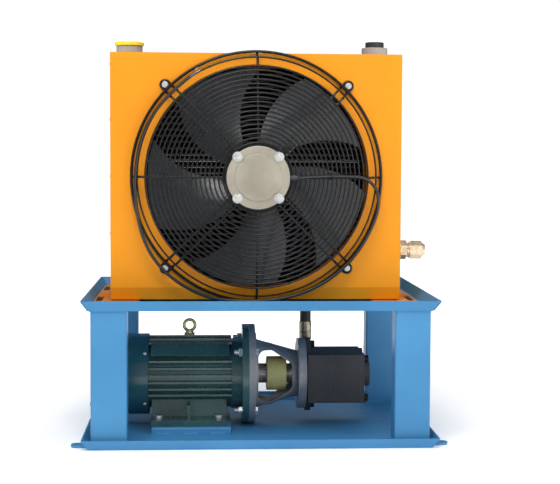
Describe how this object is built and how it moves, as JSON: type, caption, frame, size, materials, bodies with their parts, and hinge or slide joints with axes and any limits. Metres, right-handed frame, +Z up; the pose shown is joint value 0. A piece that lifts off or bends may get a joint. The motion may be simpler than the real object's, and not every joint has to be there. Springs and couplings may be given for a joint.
{
  "type": "hydraulic oil cooler",
  "caption": "Free-standing air-blast oil cooler: finned core and guarded axial fan in a sheet box, on a two-tray stand that holds an electric motor, bell housing and gear pump.",
  "frame": {"origin": "centre of the stand's underside, on the floor", "axes": "+Z up, -Y towards the side with the fan guard, +X towards the pump end of the drive line"},
  "size_m": [0.9015, 0.657, 0.989],
  "materials": {
    "blue_paint": "gloss, lightly worn",
    "orange_paint": "satin powder coat",
    "guard_paint": "satin black",
    "motor_paint": "gloss dark teal over cast iron",
    "cowl_paint": "gloss dark teal over pressed sheet",
    "die_cast": "bead blasted",
    "bell_alloy": "as cast with turned rims",
    "core_alloy": "brazed",
    "zinc_steel": "zinc plated",
    "yellow_zinc": "yellow zinc plated",
    "ground_steel": "ground",
    "black_steel": "black oxide",
    "pump_iron": "dark grey primer",
    "winding": "laminated stack with varnished copper",
    "bronze": "turned",
    "blade_plastic": "moulded, satin",
    "nylon": "moulded, semi translucent",
    "yellow_plastic": "moulded",
    "dark_plastic": "moulded",
    "black_rubber": "matt"
  },
  "bodies": {
    "cooler_unit": {"base_tray": "blue_paint", "bell_housing": "bell_alloy", "cable_ties": "dark_plastic", "core_fins": "core_alloy", "core_side_plates": "core_alloy", "core_tubes": "core_alloy", "eye_bolt": "yellow_zinc", "fan_bearings": "ground_steel", "fan_cable": "black_rubber", "fan_cable_gland": "dark_plastic", "fan_guard": "guard_paint", "fan_motor_flange": "die_cast", "fan_stator": "winding", "flange_bolts": "zinc_steel", "flange_screws": "zinc_steel", "foot_left": "orange_paint", "foot_pads": "black_rubber", "foot_right": "orange_paint", "guard_bolts": "zinc_steel", "header_tank_left": "orange_paint", "header_tank_right": "orange_paint", "hose_end_lower": "yellow_zinc", "hose_end_upper": "yellow_zinc", "inlet_elbow": "yellow_zinc", "motor_bearings": "ground_steel", "motor_cowl": "cowl_paint", "motor_frame": "motor_paint", "motor_front_shield": "motor_paint", "motor_rear_shield": "motor_paint", "motor_riser": "blue_paint", "motor_stator": "winding", "mounting_bolts": "zinc_steel", "oil_hose": "black_rubber", "posts": "blue_paint", "pump_adapter": "yellow_zinc", "pump_body": "pump_iron", "pump_bolts": "black_steel", "pump_bushes": "bronze", "pump_end_cover": "pump_iron", "pump_front_cover": "pump_iron", "shroud": "orange_paint", "side_port_cap": "yellow_zinc", "side_port_nut": "yellow_zinc", "side_port_stud": "yellow_zinc", "terminal_box": "motor_paint", "terminal_lid": "motor_paint", "upper_tray": "blue_paint"},
    "fan_rotor": {"fan_rotor_can": "black_steel", "fan_shaft": "ground_steel", "fan_blades": "blade_plastic"},
    "drive_line": {"motor_shaft": "ground_steel", "motor_rotor": "core_alloy", "motor_fan": "blade_plastic", "coupling_hub_motor": "ground_steel", "coupling_sleeve": "nylon", "coupling_hub_pump": "ground_steel", "pump_drive_gear": "ground_steel"},
    "driven_gear": {"pump_driven_gear": "ground_steel"},
    "outlet_plug_body": {"outlet_plug": "yellow_plastic"},
    "upper_cap_body": {"upper_port_cap": "dark_plastic"}
  },
  "joints": [
    {"name": "fan_spin", "type": "hinge", "parent": "cooler_unit", "child": "fan_rotor", "pos_m": [-0.008, -0.2, 0.637], "axis": [0, 1, 0], "continuous": true},
    {"name": "motor_spin", "type": "hinge", "parent": "cooler_unit", "child": "drive_line", "pos_m": [0, 0, 0.13], "axis": [1, 0, 0], "continuous": true},
    {"name": "driven_gear_spin", "type": "hinge", "parent": "cooler_unit", "child": "driven_gear", "pos_m": [0.23, 0.044, 0.13], "axis": [1, 0, 0], "continuous": true},
    {"name": "outlet_plug_pull", "type": "slide", "parent": "cooler_unit", "child": "outlet_plug_body", "axis": [0, 0, 1], "range_m": [0, 0.05]},
    {"name": "upper_cap_pull", "type": "slide", "parent": "cooler_unit", "child": "upper_cap_body", "axis": [0, 0, 1], "range_m": [0, 0.05]}
  ],
  "couplings": [
    {"joint": "driven_gear_spin", "follows": "motor_spin", "ratio": -1}
  ]
}
